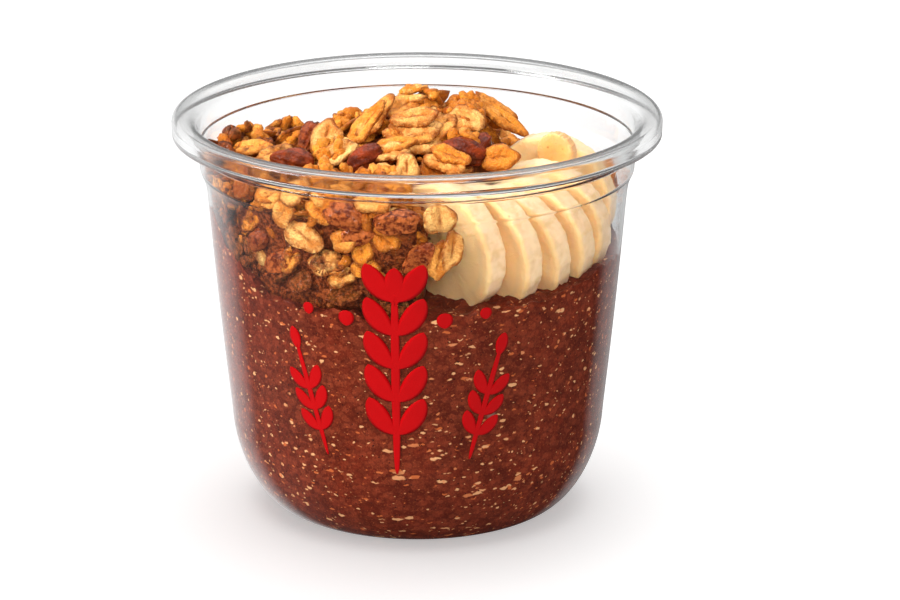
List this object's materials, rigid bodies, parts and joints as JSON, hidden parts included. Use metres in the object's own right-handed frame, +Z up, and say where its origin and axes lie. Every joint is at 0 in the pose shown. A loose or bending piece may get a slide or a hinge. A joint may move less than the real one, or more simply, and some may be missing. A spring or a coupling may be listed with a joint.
{
  "type": "chocolate overnight oats",
  "caption": "Chocolate overnight oats in a clear round-bottomed cup with a wide flange, topped with a heap of granola and a fanned row of banana slices.",
  "frame": {"origin": "middle of the cup's base, on the surface it stands on", "axes": "+Z up along the cup's axis, -Y towards the front, +X to the right, where the banana is"},
  "size_m": [0.098, 0.098, 0.0849],
  "materials": {
    "clear_plastic": "clear, polished",
    "chocolate_oats": "moist, half gloss",
    "toasted_granola": "dry, matt",
    "banana_flesh": "moist, satin"
  },
  "bodies": {
    "root": {"cup": "clear_plastic", "oats": "chocolate_oats", "granola": "toasted_granola", "banana_slice_1": "banana_flesh", "banana_slice_2": "banana_flesh", "banana_slice_3": "banana_flesh", "banana_slice_4": "banana_flesh", "banana_slice_5": "banana_flesh", "banana_slice_6": "banana_flesh", "banana_end": "banana_flesh"}
  },
  "joints": []
}
